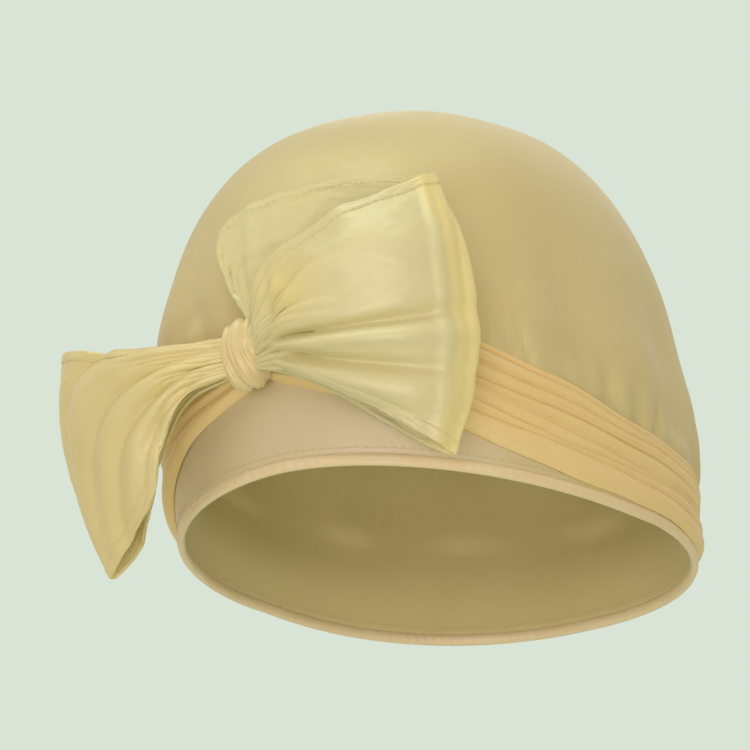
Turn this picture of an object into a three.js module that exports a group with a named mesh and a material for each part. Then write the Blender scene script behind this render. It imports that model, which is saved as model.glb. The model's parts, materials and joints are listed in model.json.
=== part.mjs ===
// A head wrap cap of stretch satin, as it is worn: a close soft crown, a narrow rolled hem round the
// head opening, and two gathered tie straps. The straps start at the centre of the back, run forward
// over the sides of the crown and are tied at the front in one big soft bow.
//
// Millimetres, +Z up. The face side is -Y and the wearer's left is +X. The origin is the middle of the
// head opening, level with the front of the hem. Angles round the cap are in degrees from the front,
// positive towards the wearer's left.

import * as THREE from 'three';

// Cloth and fit
const CLOTH = 1.2;           // crown wall, two layers of stretch satin
const LOOP_CLOTH = 1.4;      // strap cloth laid double where it makes the bow
const GAP = 0.7;             // from the crown to the straps that lie on it
const SEAM = 0.4;            // between two pieces that meet edge to edge

// Head opening
const HEM_DROP = 45;         // how much lower the hem is at the back than at the front
const HEM_SWEEP = 0.8;       // below 1, the hem falls away from the front sooner
const HANG_LEVEL = 96;       // height where the crown's levels are flat again
const HEM_HEIGHT = 3.2;
const HEM_THICKNESS = 2.4;
const ROUNDNESS = 2.2;       // section exponent: 2 is an ellipse

// Bow and knot
const KNOT_HEIGHT = 34;      // middle of the knot above the hem
const KNOT_WIDTH = 15;
const KNOT_TALL = 22;
const KNOT_DEPTH = 15;
const KNOT_STANDOFF = 0.9;   // from the crown to the back of the knot
const KNOT_END = 0.72;       // size of the knot's ends against its middle
const KNOT_FOLD = 0.06;      // depth of the folds wound round the knot, against its size
const KNOT_FOLDS = 2.2;      // folds in half the knot's width
const KNOT_SLANT = 0.8;      // how far the folds slant, in folds
const BOW_STANDOFF = 8;      // from the crown to the rear layer of the bow, over the straps

// Crown levels from the hem to the top of the head, with the reach of the cloth to each side
const CROWN = [
  { level: 0, side: 77.5, front: 95, back: 81 },
  { level: 16, side: 78.5, front: 95.5, back: 86.5 },
  { level: 32, side: 78.5, front: 94.5, back: 90.5 },
  { level: 48, side: 77, front: 92.5, back: 92.5 },
  { level: 64, side: 73.5, front: 87.5, back: 91.5 },
  { level: 80, side: 67, front: 80, back: 87 },
  { level: 94, side: 58, front: 70.5, back: 78.5 },
  { level: 106, side: 46.5, front: 58, back: 65 },
  { level: 114.5, side: 32.5, front: 42, back: 46.5 },
  { level: 119, side: 17, front: 22.5, back: 24.5 },
  { level: 120.5, side: 0, front: 0, back: 0 },
];

// Soft folds pressed into the crown above the straps. The rise is measured from the strap's top edge.
const CROWN_FOLDS = [
  { angle: -152, half_angle: 9, rise: 40, depth: 3.0 },
  { angle: -120, half_angle: 8, rise: 52, depth: 3.2 },
  { angle: -88, half_angle: 8, rise: 46, depth: 3.0 },
  { angle: -54, half_angle: 8, rise: 40, depth: 2.6 },
  { angle: -22, half_angle: 7, rise: 46, depth: 2.6 },
  { angle: 12, half_angle: 7, rise: 48, depth: 2.4 },
  { angle: 42, half_angle: 8, rise: 40, depth: 2.2 },
  { angle: 74, half_angle: 8, rise: 48, depth: 2.8 },
  { angle: 106, half_angle: 8, rise: 54, depth: 3.2 },
  { angle: 140, half_angle: 9, rise: 44, depth: 3.0 },
  { angle: 176, half_angle: 9, rise: 50, depth: 3.2 },
];
const FOLD_FOOT = 3;         // a fold starts this far above the strap and is full at FOLD_FULL
const FOLD_FULL = 12;
const FOLD_FADE = 0.4;       // a fold fades from this share of its rise to FOLD_END of it
const FOLD_END = 1.5;
const PUFF = 2.6;            // how far the crown swells just above the straps
const PUFF_RISE = 32;
const PUFF_SPREAD = 17;
const CINCH = 1.8;           // how far the straps pull the crown in
const CINCH_SPREAD = 13;

// Strap route, one row every 30 degrees from the knot to the back: its middle height, width and
// thickness where the pleats are deepest
const STRAP_STEP = 30;
const STRAP = [
  { centre: 34, width: 17, thickness: 5.2 },
  { centre: 25, width: 31, thickness: 4.8 },
  { centre: 4.5, width: 31, thickness: 4.4 },
  { centre: -12.5, width: 26, thickness: 4.0 },
  { centre: -23.5, width: 23, thickness: 3.8 },
  { centre: -30, width: 22, thickness: 3.6 },
  { centre: -32.5, width: 21.5, thickness: 3.6 },
];
const STRAP_START = 4.8;     // clear of the knot's side
const STRAP_END = 179.7;     // leaves a seam at the back
const STRAP_PLEATS = 3;
const STRAP_EDGE = 1.2;      // thickness of the strap's rolled edges
const PLEAT_DEPTH = 1.0;

// The bow's loops. A row is the band of cloth at one place along its length, from the knot along the
// front layer, round the turn and back along the rear layer. Top and foot are the band's two edges,
// measured out from the knot's middle and up from it. Out is how far in front of the rear of the bow
// the band lies, bulge how much further its middle swells forward, and belly how far its middle
// reaches past the line between the edges.
const LEFT_LOOP = {
  side: 1,
  bend: 100,
  lean: 110,
  rows: [
    { top_x: 8.8, top_z: 7, foot_x: 8.8, foot_z: -7, out: 8, bulge: 0, belly: 0 },
    { top_x: 13, top_z: 24, foot_x: 21, foot_z: -12, out: 13, bulge: 4, belly: 3 },
    { top_x: 32, top_z: 34, foot_x: 37, foot_z: -24, out: 15, bulge: 5, belly: 5 },
    { top_x: 50, top_z: 41, foot_x: 51, foot_z: -35, out: 14, bulge: 4, belly: 8 },
    { top_x: 62, top_z: 45, foot_x: 61, foot_z: -43, out: 8, bulge: 1, belly: 11 },
    { top_x: 52, top_z: 47, foot_x: 52, foot_z: -37, out: 1, bulge: -1, belly: 10 },
    { top_x: 20, top_z: 51, foot_x: 37, foot_z: -25, out: -0.5, bulge: 0, belly: 4 },
    { top_x: -9, top_z: 43, foot_x: 24, foot_z: -15, out: 0.5, bulge: 0, belly: 2 },
    { top_x: 2.5, top_z: 25, foot_x: 14, foot_z: -9.5, out: 0.5, bulge: 0, belly: 1 },
    { top_x: 8.8, top_z: 7, foot_x: 8.8, foot_z: -7, out: 1.5, bulge: 0, belly: 0 },
  ],
  folds: [
    { across: -0.02, half: 0.17, depth: -2.4 },
    { across: -0.23, half: 0.14, depth: 1.8 },
    { across: -0.45, half: 0.16, depth: -2.0 },
    { across: -0.72, half: 0.18, depth: 1.2 },
    { across: 0.62, half: 0.22, depth: -1.4 },
  ],
};
const RIGHT_LOOP = {
  side: -1,
  bend: 210,
  lean: 400,
  rows: [
    { top_x: 8.8, top_z: 7, foot_x: 8.8, foot_z: -7, out: 8, bulge: 0, belly: 0 },
    { top_x: 27, top_z: 8.5, foot_x: 17, foot_z: -10, out: 12, bulge: 2, belly: 1 },
    { top_x: 44, top_z: 11, foot_x: 25.5, foot_z: -22, out: 14, bulge: 3, belly: 2 },
    { top_x: 61, top_z: 14.5, foot_x: 35, foot_z: -40, out: 13, bulge: 4, belly: 7 },
    { top_x: 71.5, top_z: 15.5, foot_x: 62, foot_z: -57, out: 7, bulge: 1, belly: 9 },
    { top_x: 62, top_z: 17, foot_x: 56, foot_z: -50, out: 0, bulge: -1, belly: 7 },
    { top_x: 43, top_z: 14, foot_x: 44, foot_z: -29, out: -1, bulge: 0, belly: 2 },
    { top_x: 25, top_z: 9.5, foot_x: 28, foot_z: -12, out: 0, bulge: 0, belly: 1 },
    { top_x: 8.8, top_z: 7, foot_x: 8.8, foot_z: -7, out: 1.5, bulge: 0, belly: 0 },
  ],
  folds: [
    { across: 0.55, half: 0.2, depth: -2.0 },
    { across: 0.15, half: 0.2, depth: -2.4 },
    { across: -0.1, half: 0.18, depth: 1.4 },
    { across: -0.4, half: 0.2, depth: -2.2 },
    { across: -0.75, half: 0.2, depth: 1.2 },
  ],
};

// Mesh fineness
const ROUND_STEPS = 60;
const OUTER_LEVELS = 16;
const INNER_LEVELS = 11;
const STRAP_STEPS = 28;
const STRAP_ACROSS = 12;
const LOOP_STEPS = 22;
const LOOP_ACROSS = 12;
const KNOT_STEPS = 10;
const KNOT_ROUND = 14;

const radians = THREE.MathUtils.degToRad;
const clamp = THREE.MathUtils.clamp;
const smooth = THREE.MathUtils.smoothstep;
const bell = (distance, spread) => Math.exp(-((distance / spread) ** 2));
const signedPower = (value, power) => Math.sign(value) * Math.abs(value) ** power;

// A smooth value between the rows of a table. Past the last row the table is mirrored, with the
// column's sign kept or turned, or runs on straight where mirror is 0.
function between(rows, column, place, mirror = 0) {
  const last = rows.length - 1;
  const start = clamp(Math.floor(place), 0, last - 1);
  const t = place - start;
  const value = (index) => {
    if (index < 0) return 2 * rows[0][column] - rows[1][column];
    if (index <= last) return rows[index][column];
    const inner = rows[last - 1][column];
    return mirror === 0 ? 2 * rows[last][column] - inner : mirror * inner;
  };
  const [a, b, c, d] = [value(start - 1), value(start), value(start + 1), value(start + 2)];
  return b + 0.5 * t * (c - a + t * (2 * a - 5 * b + 4 * c - d + t * (3 * (b - c) + d - a)));
}

// A closed solid through rings of points. Its ends are capped across each ring, drawn together to a
// point, or joined to each other.
function solidThroughRings(rings, ends) {
  const sides = rings[0].length;
  const points = rings.flat();
  const faces = [];
  const quad = (a, b, c, d) => faces.push([a, b, c], [a, c, d]);
  const spans = ends === 'joined' ? rings.length : rings.length - 1;
  for (let i = 0; i < spans; i += 1) {
    const here = i * sides;
    const next = ((i + 1) % rings.length) * sides;
    for (let j = 0; j < sides; j += 1) {
      const k = (j + 1) % sides;
      quad(here + j, here + k, next + k, next + j);
    }
  }
  const capAcross = (ring, turned) => {
    for (let j = 0; j < sides / 2 - 1; j += 1) {
      const corners = [j, j + 1, sides - 2 - j, sides - 1 - j].map((index) => ring * sides + index);
      quad(...(turned ? corners : corners.reverse()));
    }
  };
  const capToPoint = (ring, turned) => {
    const middle = new THREE.Vector3();
    rings[ring].forEach((point) => middle.addScaledVector(point, 1 / sides));
    points.push(middle);
    for (let j = 0; j < sides; j += 1) {
      const corners = [ring * sides + j, ring * sides + ((j + 1) % sides), points.length - 1];
      faces.push(turned ? corners : corners.reverse());
    }
  };
  const cap = { across: capAcross, point: capToPoint }[ends];
  if (cap) {
    cap(0, false);
    cap(rings.length - 1, true);
  }
  const volume = faces.reduce((sum, [a, b, c]) => {
    return sum + points[a].dot(new THREE.Vector3().crossVectors(points[b], points[c])) / 6;
  }, 0);
  const outward = volume < 0 ? faces.map((face) => face.slice().reverse()) : faces;
  const geometry = new THREE.BufferGeometry();
  geometry.setAttribute('position', new THREE.Float32BufferAttribute(points.flatMap((p) => p.toArray()), 3));
  geometry.setIndex(outward.flat());
  geometry.computeVertexNormals();
  return geometry;
}

function satin(color) {
  return new THREE.MeshStandardMaterial({ color, roughness: 0.42, metalness: 0 });
}

// Crown

function strapAt(angle) {
  const place = Math.abs(angle) / STRAP_STEP;
  return {
    centre: between(STRAP, 'centre', place, 1),
    width: between(STRAP, 'width', place, 1),
    thickness: between(STRAP, 'thickness', place, 1),
  };
}

function hemHeight(angle) {
  return -HEM_DROP * ((1 - Math.cos(radians(angle))) / 2) ** HEM_SWEEP;
}

function turnsApart(a, b) {
  return Math.abs(((a - b + 540) % 360) - 180);
}

// How far the straps, the puff above them and the folds move the crown's cloth outwards
function clothSwell(angle, height) {
  const strap = strapAt(angle);
  const above = height - strap.centre;
  const topEdge = above - strap.width / 2;
  let swell = PUFF * bell(above - PUFF_RISE, PUFF_SPREAD) - CINCH * bell(above, CINCH_SPREAD);
  for (const fold of CROWN_FOLDS) {
    const sideways = bell(turnsApart(angle, fold.angle), fold.half_angle);
    const begun = smooth(topEdge, FOLD_FOOT, FOLD_FULL);
    const faded = smooth(topEdge, fold.rise * FOLD_FADE, fold.rise * FOLD_END);
    swell -= fold.depth * sideways * begun * (1 - faded);
  }
  return swell;
}

function crownPoint(angle, place) {
  const level = between(CROWN, 'level', place, 1);
  const reach = Math.abs(angle) < 90 ? 'front' : 'back';
  const hang = 1 - smooth(level, 0, HANG_LEVEL);
  const height = level + hemHeight(angle) * hang;
  const shrink = Math.min(1, between(CROWN, 'side', place, -1) / CROWN[0].side);
  const swell = clothSwell(angle, height) * shrink;
  const across = between(CROWN, 'side', place, -1) + swell;
  const along = between(CROWN, reach, place, -1) + swell;
  const sin = Math.sin(radians(angle));
  const cos = Math.cos(radians(angle));
  return new THREE.Vector3(
    Math.max(across, 0) * signedPower(sin, 2 / ROUNDNESS),
    -Math.max(along, 0) * signedPower(cos, 2 / ROUNDNESS),
    height,
  );
}

// The way out of the crown's cloth, square to it
function crownNormal(angle, place) {
  const top = CROWN.length - 1;
  if (place > top - 0.01) return new THREE.Vector3(0, 0, 1);
  const turn = 1.5;
  const step = 0.12;
  const round = crownPoint(angle + turn, place).sub(crownPoint(angle - turn, place));
  const upper = crownPoint(angle, Math.min(place + step, top));
  const up = upper.sub(crownPoint(angle, Math.max(place - step, 0)));
  return round.cross(up).normalize();
}

// The place in the crown table where its cloth is at this height
function placeAtHeight(angle, height) {
  let low = -1;
  let high = CROWN.length - 1;
  for (let i = 0; i < 30; i += 1) {
    const middle = (low + high) / 2;
    if (crownPoint(angle, middle).z < height) low = middle;
    else high = middle;
  }
  return (low + high) / 2;
}

function onCrown(angle, height, outwards) {
  const place = placeAtHeight(angle, height);
  return crownPoint(angle, place).addScaledVector(crownNormal(angle, place), outwards);
}

function angleAtStep(step) {
  return (step / ROUND_STEPS) * 360 - 180;
}

function makeCrown() {
  const top = CROWN.length - 1;
  const ringAt = (place, inwards) => {
    const ring = [];
    for (let j = 0; j < ROUND_STEPS; j += 1) {
      const angle = angleAtStep(j);
      ring.push(crownPoint(angle, place).addScaledVector(crownNormal(angle, place), -inwards));
    }
    return ring;
  };
  const rings = [];
  for (let i = INNER_LEVELS - 1; i >= 0; i -= 1) rings.push(ringAt((top * i) / INNER_LEVELS, CLOTH));
  for (let i = 0; i < OUTER_LEVELS; i += 1) rings.push(ringAt((top * i) / OUTER_LEVELS, 0));
  return solidThroughRings(rings, 'point');
}

// Hem: a narrow rolled edge just under the crown's cloth, all the way round

function makeHem() {
  const sides = 6;
  const rings = [];
  for (let i = 0; i < ROUND_STEPS; i += 1) {
    const angle = angleAtStep(i);
    const normal = crownNormal(angle, 0).setZ(0).normalize();
    const middle = crownPoint(angle, 0).addScaledVector(normal, -CLOTH / 2);
    middle.z -= HEM_HEIGHT / 2 + SEAM;
    const ring = [];
    for (let j = 0; j < sides; j += 1) {
      const turn = (2 * Math.PI * (j + 0.5)) / sides;
      const outwards = (HEM_THICKNESS / 2) * Math.cos(turn);
      const upwards = (HEM_HEIGHT / 2) * Math.sin(turn);
      ring.push(middle.clone().addScaledVector(normal, outwards).setZ(middle.z + upwards));
    }
    rings.push(ring);
  }
  return solidThroughRings(rings, 'joined');
}

// Straps: satin gathered into long pleats, from the knot round the side to the middle of the back

function makeStrap(side) {
  const rings = [];
  for (let i = 0; i <= STRAP_STEPS; i += 1) {
    const angle = STRAP_START + ((STRAP_END - STRAP_START) * i) / STRAP_STEPS;
    const strap = strapAt(angle);
    const outer = [];
    const inner = [];
    for (let j = 0; j <= STRAP_ACROSS; j += 1) {
      const across = (2 * j) / STRAP_ACROSS - 1;
      const round = 1 - across ** 4;
      const pleat = PLEAT_DEPTH * Math.sin((across + 1) * Math.PI * STRAP_PLEATS - Math.PI / 2);
      const thickness = STRAP_EDGE + (strap.thickness - STRAP_EDGE - PLEAT_DEPTH + pleat) * round;
      const height = strap.centre + (across * strap.width) / 2;
      outer.push(onCrown(side * angle, height, GAP + thickness));
      inner.unshift(onCrown(side * angle, height, GAP));
    }
    rings.push([...outer, ...inner]);
  }
  return solidThroughRings(rings, 'across');
}

// Bow: two loops of the tied strap and the knot that draws them together

const CROWN_FRONT = -onCrown(0, KNOT_HEIGHT, 0).y;

// Places a point of the bow, given out from the knot, up from it and forward of the bow's rear
function onBow(loop, x, z, forward) {
  const turn = x / loop.bend;
  const lean = Math.max(z, 0) ** 2 / (2 * loop.lean);
  const across = loop.bend * Math.sin(turn) + forward * Math.sin(turn);
  const back = loop.bend * (1 - Math.cos(turn)) - forward * Math.cos(turn) + lean;
  return new THREE.Vector3(loop.side * across, -CROWN_FRONT - BOW_STANDOFF + back, KNOT_HEIGHT + z);
}

// The middle of the loop's cloth: along runs over the rows, across from the foot (-1) to the top (1)
function loopPoint(loop, along, across) {
  const row = (column) => between(loop.rows, column, along);
  const share = (across + 1) / 2;
  const swell = 1 - across ** 2;
  const x = row('foot_x') + (row('top_x') - row('foot_x')) * share + row('belly') * swell;
  const z = row('foot_z') + (row('top_z') - row('foot_z')) * share;
  const last = loop.rows.length - 1;
  const open = Math.sin((Math.PI * along) / last);
  let forward = row('out') + row('bulge') * swell;
  for (const fold of loop.folds) forward += fold.depth * open * bell(across - fold.across, fold.half);
  return onBow(loop, x, z, forward);
}

function makeLoop(loop) {
  const last = loop.rows.length - 1;
  const step = 0.02;
  const rings = [];
  for (let i = 0; i <= LOOP_STEPS; i += 1) {
    const along = (last * i) / LOOP_STEPS;
    const outer = [];
    const inner = [];
    for (let j = 0; j <= LOOP_ACROSS; j += 1) {
      const across = (2 * j) / LOOP_ACROSS - 1;
      const middle = loopPoint(loop, along, across);
      const onwards = loopPoint(loop, Math.min(along + step, last), across);
      onwards.sub(loopPoint(loop, Math.max(along - step, 0), across));
      const upwards = loopPoint(loop, along, across + step).sub(loopPoint(loop, along, across - step));
      const normal = onwards.cross(upwards).normalize().multiplyScalar(LOOP_CLOTH / 2);
      outer.push(middle.clone().add(normal));
      inner.unshift(middle.clone().sub(normal));
    }
    rings.push([...outer, ...inner]);
  }
  return solidThroughRings(rings, 'across');
}

function makeKnot() {
  const middle = -CROWN_FRONT - KNOT_STANDOFF - KNOT_DEPTH / 2;
  const rings = [];
  for (let i = 0; i <= KNOT_STEPS; i += 1) {
    const share = (2 * i) / KNOT_STEPS - 1;
    const barrel = KNOT_END + (1 - KNOT_END) * Math.sqrt(1 - share ** 2);
    const ring = [];
    for (let j = 0; j < KNOT_ROUND; j += 1) {
      const turn = (2 * Math.PI * j) / KNOT_ROUND;
      const forward = Math.cos(turn);
      const up = Math.sin(turn);
      const wrap = 1 + KNOT_FOLD * Math.cos(Math.PI * (KNOT_FOLDS * share + KNOT_SLANT * up));
      const depth = (KNOT_DEPTH / 2) * barrel * (forward > 0 ? wrap : 1);
      const height = (KNOT_TALL / 2) * barrel * wrap;
      const y = middle - depth * forward;
      ring.push(new THREE.Vector3((share * KNOT_WIDTH) / 2, y, KNOT_HEIGHT + height * up));
    }
    rings.push(ring);
  }
  return solidThroughRings(rings, 'point');
}

const cap = new THREE.Group();
cap.name = 'head_wrap_cap';

function add(name, geometry, color) {
  const mesh = new THREE.Mesh(geometry, satin(color));
  mesh.name = name;
  cap.add(mesh);
}

add('crown', makeCrown(), 0xd1c98e);
add('edge_hem', makeHem(), 0xceaa75);
add('strap_left', makeStrap(1), 0xcdb077);
add('strap_right', makeStrap(-1), 0xcdb077);
add('bow_loop_left', makeLoop(LEFT_LOOP), 0xdbd8a2);
add('bow_loop_right', makeLoop(RIGHT_LOOP), 0xd5bf86);
add('bow_knot', makeKnot(), 0xd4b87f);

export default cap;
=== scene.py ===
import json
import math
from collections import namedtuple

import bpy
import numpy as np
from mathutils import Matrix, Vector

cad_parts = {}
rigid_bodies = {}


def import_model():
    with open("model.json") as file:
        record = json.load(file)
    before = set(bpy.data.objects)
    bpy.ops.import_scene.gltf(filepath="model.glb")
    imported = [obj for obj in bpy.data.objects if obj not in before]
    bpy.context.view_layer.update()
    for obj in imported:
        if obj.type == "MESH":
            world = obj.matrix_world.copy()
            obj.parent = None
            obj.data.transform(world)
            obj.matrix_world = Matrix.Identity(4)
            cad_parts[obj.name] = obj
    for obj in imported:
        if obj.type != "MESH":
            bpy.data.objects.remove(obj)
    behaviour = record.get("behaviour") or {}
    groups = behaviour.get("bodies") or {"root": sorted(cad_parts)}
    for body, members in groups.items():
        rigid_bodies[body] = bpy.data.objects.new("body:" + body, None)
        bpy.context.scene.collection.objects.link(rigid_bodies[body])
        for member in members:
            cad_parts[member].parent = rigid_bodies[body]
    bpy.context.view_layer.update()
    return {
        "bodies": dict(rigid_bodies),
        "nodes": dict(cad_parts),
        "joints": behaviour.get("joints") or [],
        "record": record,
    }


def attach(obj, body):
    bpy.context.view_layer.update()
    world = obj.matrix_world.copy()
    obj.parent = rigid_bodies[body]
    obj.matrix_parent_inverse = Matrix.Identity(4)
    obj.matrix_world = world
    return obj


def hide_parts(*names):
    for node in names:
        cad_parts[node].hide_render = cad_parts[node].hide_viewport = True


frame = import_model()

# Camera
# A long lens a metre and a half away, round to the left of the front and looking a little up at the
# hem. It is rolled, because the cap leans to its own right in the photograph.
CAMERA_AZIMUTH = math.radians(32)
CAMERA_ELEVATION = math.radians(-10)
CAMERA_ROLL = math.radians(8)
CAMERA_DISTANCE = 1.5
FRAME_WIDTH = 0.246
FRAME_CENTRE = (-0.0155, 0.0)   # of the picture from the middle of the crown, across and up
CROWN_MIDDLE = Vector((0, 0, 0.035))

camera = bpy.data.objects.new("camera", bpy.data.cameras.new("camera"))
bpy.context.scene.collection.objects.link(camera)
bpy.context.scene.camera = camera
sin_a, cos_a = math.sin(CAMERA_AZIMUTH), math.cos(CAMERA_AZIMUTH)
sin_e, cos_e = math.sin(CAMERA_ELEVATION), math.cos(CAMERA_ELEVATION)
level_right = Vector((cos_a, sin_a, 0))
level_up = Vector((-sin_a * sin_e, cos_a * sin_e, cos_e))
camera_back = Vector((sin_a * cos_e, -cos_a * cos_e, sin_e))
camera_right = level_right * math.cos(CAMERA_ROLL) - level_up * math.sin(CAMERA_ROLL)
camera_up = level_right * math.sin(CAMERA_ROLL) + level_up * math.cos(CAMERA_ROLL)
aim = CROWN_MIDDLE + camera_right * FRAME_CENTRE[0] + camera_up * FRAME_CENTRE[1]
turn = Matrix((camera_right, camera_up, camera_back)).transposed()
camera.matrix_world = Matrix.Translation(aim + camera_back * CAMERA_DISTANCE) @ turn.to_4x4()
camera.data.lens = camera.data.sensor_width * CAMERA_DISTANCE / FRAME_WIDTH
camera.data.clip_start = 0.05
camera.data.clip_end = 60

# Studio
# The cap is held up in front of a plain pale ground. One large soft light stands before it at its own
# height, a cooler one hangs above it, and a weak one behind it picks out its edge.
FLOOR_HEIGHT = -0.62
FLOOR_REACH = 9.0
FLOOR_COLOUR = (0.68, 0.74, 0.65)
GROUND_COLOUR = (0.694, 0.776, 0.672)
FLOOR_FADE = (0.5, 1.2, 0.72, 1.0)   # from and to these distances, this share of the ground's colour
FILL_COLOUR = (1.0, 0.85, 0.71)
FILL_STRENGTH = 0.66
Lamp = namedtuple("Lamp", "name azimuth elevation distance size power colour")
LAMPS = [
    Lamp("front_light", 24, -8, 1.6, 1.0, 7.2, (1.0, 0.83, 1.0)),
    Lamp("top_light", 10, 78, 1.6, 1.0, 6.5, (0.82, 1.0, 0.97)),
    Lamp("rear_light", 196, 34, 1.8, 1.2, 2.4, (1.0, 1.0, 0.97)),
]

floor_mesh = bpy.data.meshes.new("floor")
rim = [(FLOOR_REACH * math.cos(a), FLOOR_REACH * math.sin(a), FLOOR_HEIGHT)
       for a in (2 * math.pi * i / 96 for i in range(96))]
floor_mesh.from_pydata(rim, [], [list(range(96))])
floor = bpy.data.objects.new("floor", floor_mesh)
bpy.context.scene.collection.objects.link(floor)
floor_paint = bpy.data.materials.new("floor_paint")
floor_paint.use_nodes = True
floor_shader = floor_paint.node_tree.nodes["Principled BSDF"]
floor_shader.inputs["Base Color"].default_value = (*FLOOR_COLOUR, 1)
floor_shader.inputs["Roughness"].default_value = 0.8
floor_nodes, floor_links = floor_paint.node_tree.nodes, floor_paint.node_tree.links
floor_haze = floor_nodes.new("ShaderNodeEmission")
floor_haze.inputs["Color"].default_value = (*GROUND_COLOUR, 1)
floor_seen = floor_nodes.new("ShaderNodeLightPath")
floor_place = floor_nodes.new("ShaderNodeTexCoord")
floor_away = floor_nodes.new("ShaderNodeVectorMath")
floor_away.operation = "LENGTH"
floor_links.new(floor_place.outputs["Object"], floor_away.inputs[0])
floor_fading = floor_nodes.new("ShaderNodeMapRange")
for socket, value in zip(("From Min", "From Max", "To Min", "To Max"), FLOOR_FADE):
    floor_fading.inputs[socket].default_value = value
floor_links.new(floor_away.outputs["Value"], floor_fading.inputs["Value"])
floor_share = floor_nodes.new("ShaderNodeMath")
floor_share.operation = "MULTIPLY"
floor_links.new(floor_fading.outputs[0], floor_share.inputs[0])
floor_links.new(floor_seen.outputs["Is Camera Ray"], floor_share.inputs[1])
floor_lit = floor_nodes.new("ShaderNodeMixShader")
floor_links.new(floor_share.outputs[0], floor_lit.inputs["Fac"])
floor_links.new(floor_shader.outputs[0], floor_lit.inputs[1])
floor_links.new(floor_haze.outputs[0], floor_lit.inputs[2])
floor_side = floor_nodes.new("ShaderNodeNewGeometry")
floor_open = floor_nodes.new("ShaderNodeBsdfTransparent")
floor_sided = floor_nodes.new("ShaderNodeMixShader")
floor_links.new(floor_side.outputs["Backfacing"], floor_sided.inputs["Fac"])
floor_links.new(floor_lit.outputs[0], floor_sided.inputs[1])
floor_links.new(floor_open.outputs[0], floor_sided.inputs[2])
floor_links.new(floor_sided.outputs[0], floor_nodes["Material Output"].inputs["Surface"])
floor_mesh.materials.append(floor_paint)

for lamp in LAMPS:
    light = bpy.data.lights.new(lamp.name, "AREA")
    light.shape = "DISK"
    light.size = lamp.size
    light.energy = lamp.power
    light.color = lamp.colour
    a, e = math.radians(lamp.azimuth), math.radians(lamp.elevation)
    away = Vector((math.sin(a) * math.cos(e), -math.cos(a) * math.cos(e), math.sin(e)))
    holder = bpy.data.objects.new(lamp.name, light)
    holder.location = CROWN_MIDDLE + away * lamp.distance
    holder.rotation_euler = away.to_track_quat("Z", "Y").to_euler()
    bpy.context.scene.collection.objects.link(holder)

world = bpy.data.worlds.new("studio")
world.use_nodes = True
sky_nodes, sky_links = world.node_tree.nodes, world.node_tree.links
sky = sky_nodes["Background"]
sky.inputs["Color"].default_value = (*FILL_COLOUR, 1)
sky.inputs["Strength"].default_value = FILL_STRENGTH
ground = sky_nodes.new("ShaderNodeBackground")
ground.inputs["Color"].default_value = (*GROUND_COLOUR, 1)
seen = sky_nodes.new("ShaderNodeLightPath")
either = sky_nodes.new("ShaderNodeMixShader")
sky_links.new(seen.outputs["Is Camera Ray"], either.inputs["Fac"])
sky_links.new(sky.outputs[0], either.inputs[1])
sky_links.new(ground.outputs[0], either.inputs[2])
sky_links.new(either.outputs[0], sky_nodes["World Output"].inputs["Surface"])
bpy.context.scene.world = world
bpy.context.scene.view_settings.view_transform = "Standard"

# Crown
# Two layers of thin stretch satin cut as one soft dome. The straps draw it in just above the hem, so
# it swells above them and gathers in soft folds, and it lies smooth under the bow.
MM = 0.001
CLOTH = 1.2
LINING_DEPTH = 2.6           # the lining lies this far in, smooth behind the outer cloth's gathers
LINING_FOLDS = 0.7           # of the outer cloth's folds, followed by the lining
HEM_DROP = 45
HEM_SWEEP = 0.8
HANG_LEVEL = 96
ROUNDNESS = 2.2
Level = namedtuple("Level", "level side front back")
CROWN = [
    Level(0, 77.5, 95, 81),
    Level(16, 78.5, 95.5, 86.5),
    Level(32, 78.5, 94.5, 90.5),
    Level(48, 77, 92.5, 92.5),
    Level(64, 73.5, 87.5, 91.5),
    Level(80, 67, 80, 87),
    Level(94, 58, 70.5, 78.5),
    Level(106, 46.5, 58, 65),
    Level(114.5, 32.5, 42, 46.5),
    Level(119, 17, 22.5, 24.5),
    Level(120.5, 0, 0, 0),
]
CROWN_TOP = len(CROWN) - 1
Fold = namedtuple("Fold", "angle half_angle rise depth")
CROWN_FOLDS = [
    Fold(-152, 9, 40, 3.0),
    Fold(-120, 8, 52, 3.2),
    Fold(-88, 8, 46, 3.0),
    Fold(-54, 8, 40, 2.6),
    Fold(-22, 7, 46, 2.6),
    Fold(12, 7, 48, 2.4),
    Fold(42, 8, 40, 2.2),
    Fold(74, 8, 48, 2.8),
    Fold(106, 8, 54, 3.2),
    Fold(140, 9, 44, 3.0),
    Fold(176, 9, 50, 3.2),
]
PUFF, PUFF_RISE, PUFF_SPREAD = 2.6, 32, 17
CINCH, CINCH_SPREAD = 1.8, 13
GATHERS = 64
GATHER_SEED = 11
BACK_FULLNESS = 0.7          # the gathers are this much deeper at the back
STRAP_STEP = 30
Strap = namedtuple("Strap", "centre width thickness")
STRAP = [
    Strap(34, 17, 5.2),
    Strap(25, 31, 4.8),
    Strap(4.5, 31, 4.4),
    Strap(-12.5, 26, 4.0),
    Strap(-23.5, 23, 3.8),
    Strap(-30, 22, 3.6),
    Strap(-32.5, 21.5, 3.6),
]
CROWN_ROUND = 288
CROWN_LEVELS = 120
CROWN_GIRTH, CROWN_RISE = 0.54, 0.22   # of the cloth laid flat, in metres
CROWN_WAVE, CROWN_WAVE_SIZE, CROWN_WAVE_SEED = 0.9, 70, 3


def through(a, b, c, d, t):
    """A smooth curve from b to c, as t goes from 0 to 1."""
    return b + 0.5 * t * (c - a + t * (2 * a - 5 * b + 4 * c - d + t * (3 * (b - c) + d - a)))


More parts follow.
